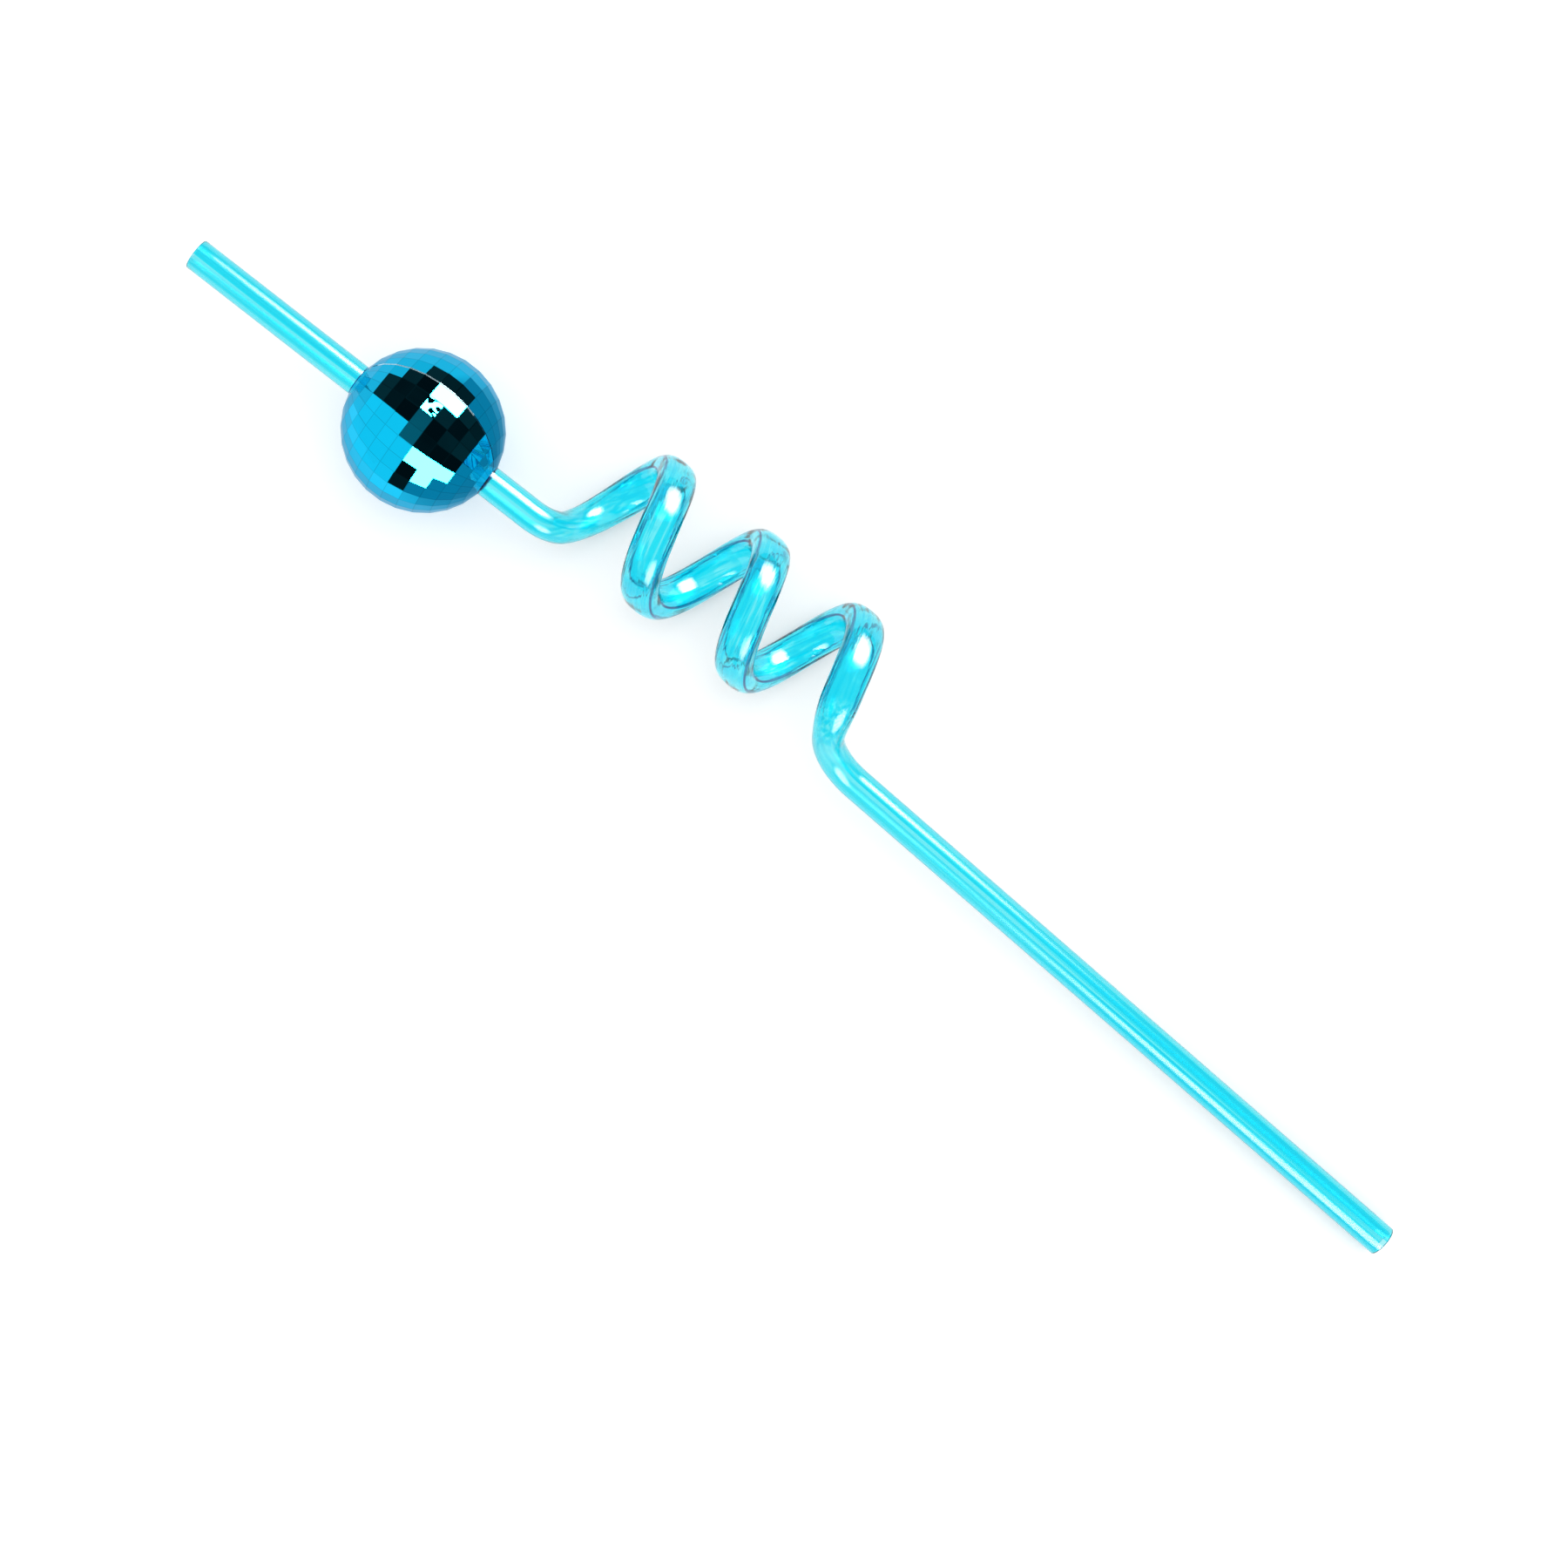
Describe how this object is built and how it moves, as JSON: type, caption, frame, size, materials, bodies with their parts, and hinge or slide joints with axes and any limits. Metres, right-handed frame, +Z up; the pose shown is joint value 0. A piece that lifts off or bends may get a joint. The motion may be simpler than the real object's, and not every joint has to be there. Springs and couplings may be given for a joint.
{
  "type": "plastic drinking straw",
  "caption": "Reusable clear plastic drinking straw with a flattened coil in its length and a hollow faceted mirror ball clamped round its upper leg.",
  "frame": {"origin": "centre of the bounding box's underside, on the surface that the straw lies on", "axes": "+X along the straw from the upper end to the lower end, +Z up off the surface, +Y to the coil's side"},
  "size_m": [0.2834, 0.0401, 0.03],
  "materials": {
    "clear_tube": "transparent cyan tinted plastic, glossy",
    "mirror_shell": "blue mirror coating on moulded plastic, flat facets"
  },
  "bodies": {
    "root": {"straw_tube": "clear_tube", "ball_half_lipped": "mirror_shell", "ball_half_grooved": "mirror_shell"}
  },
  "joints": []
}
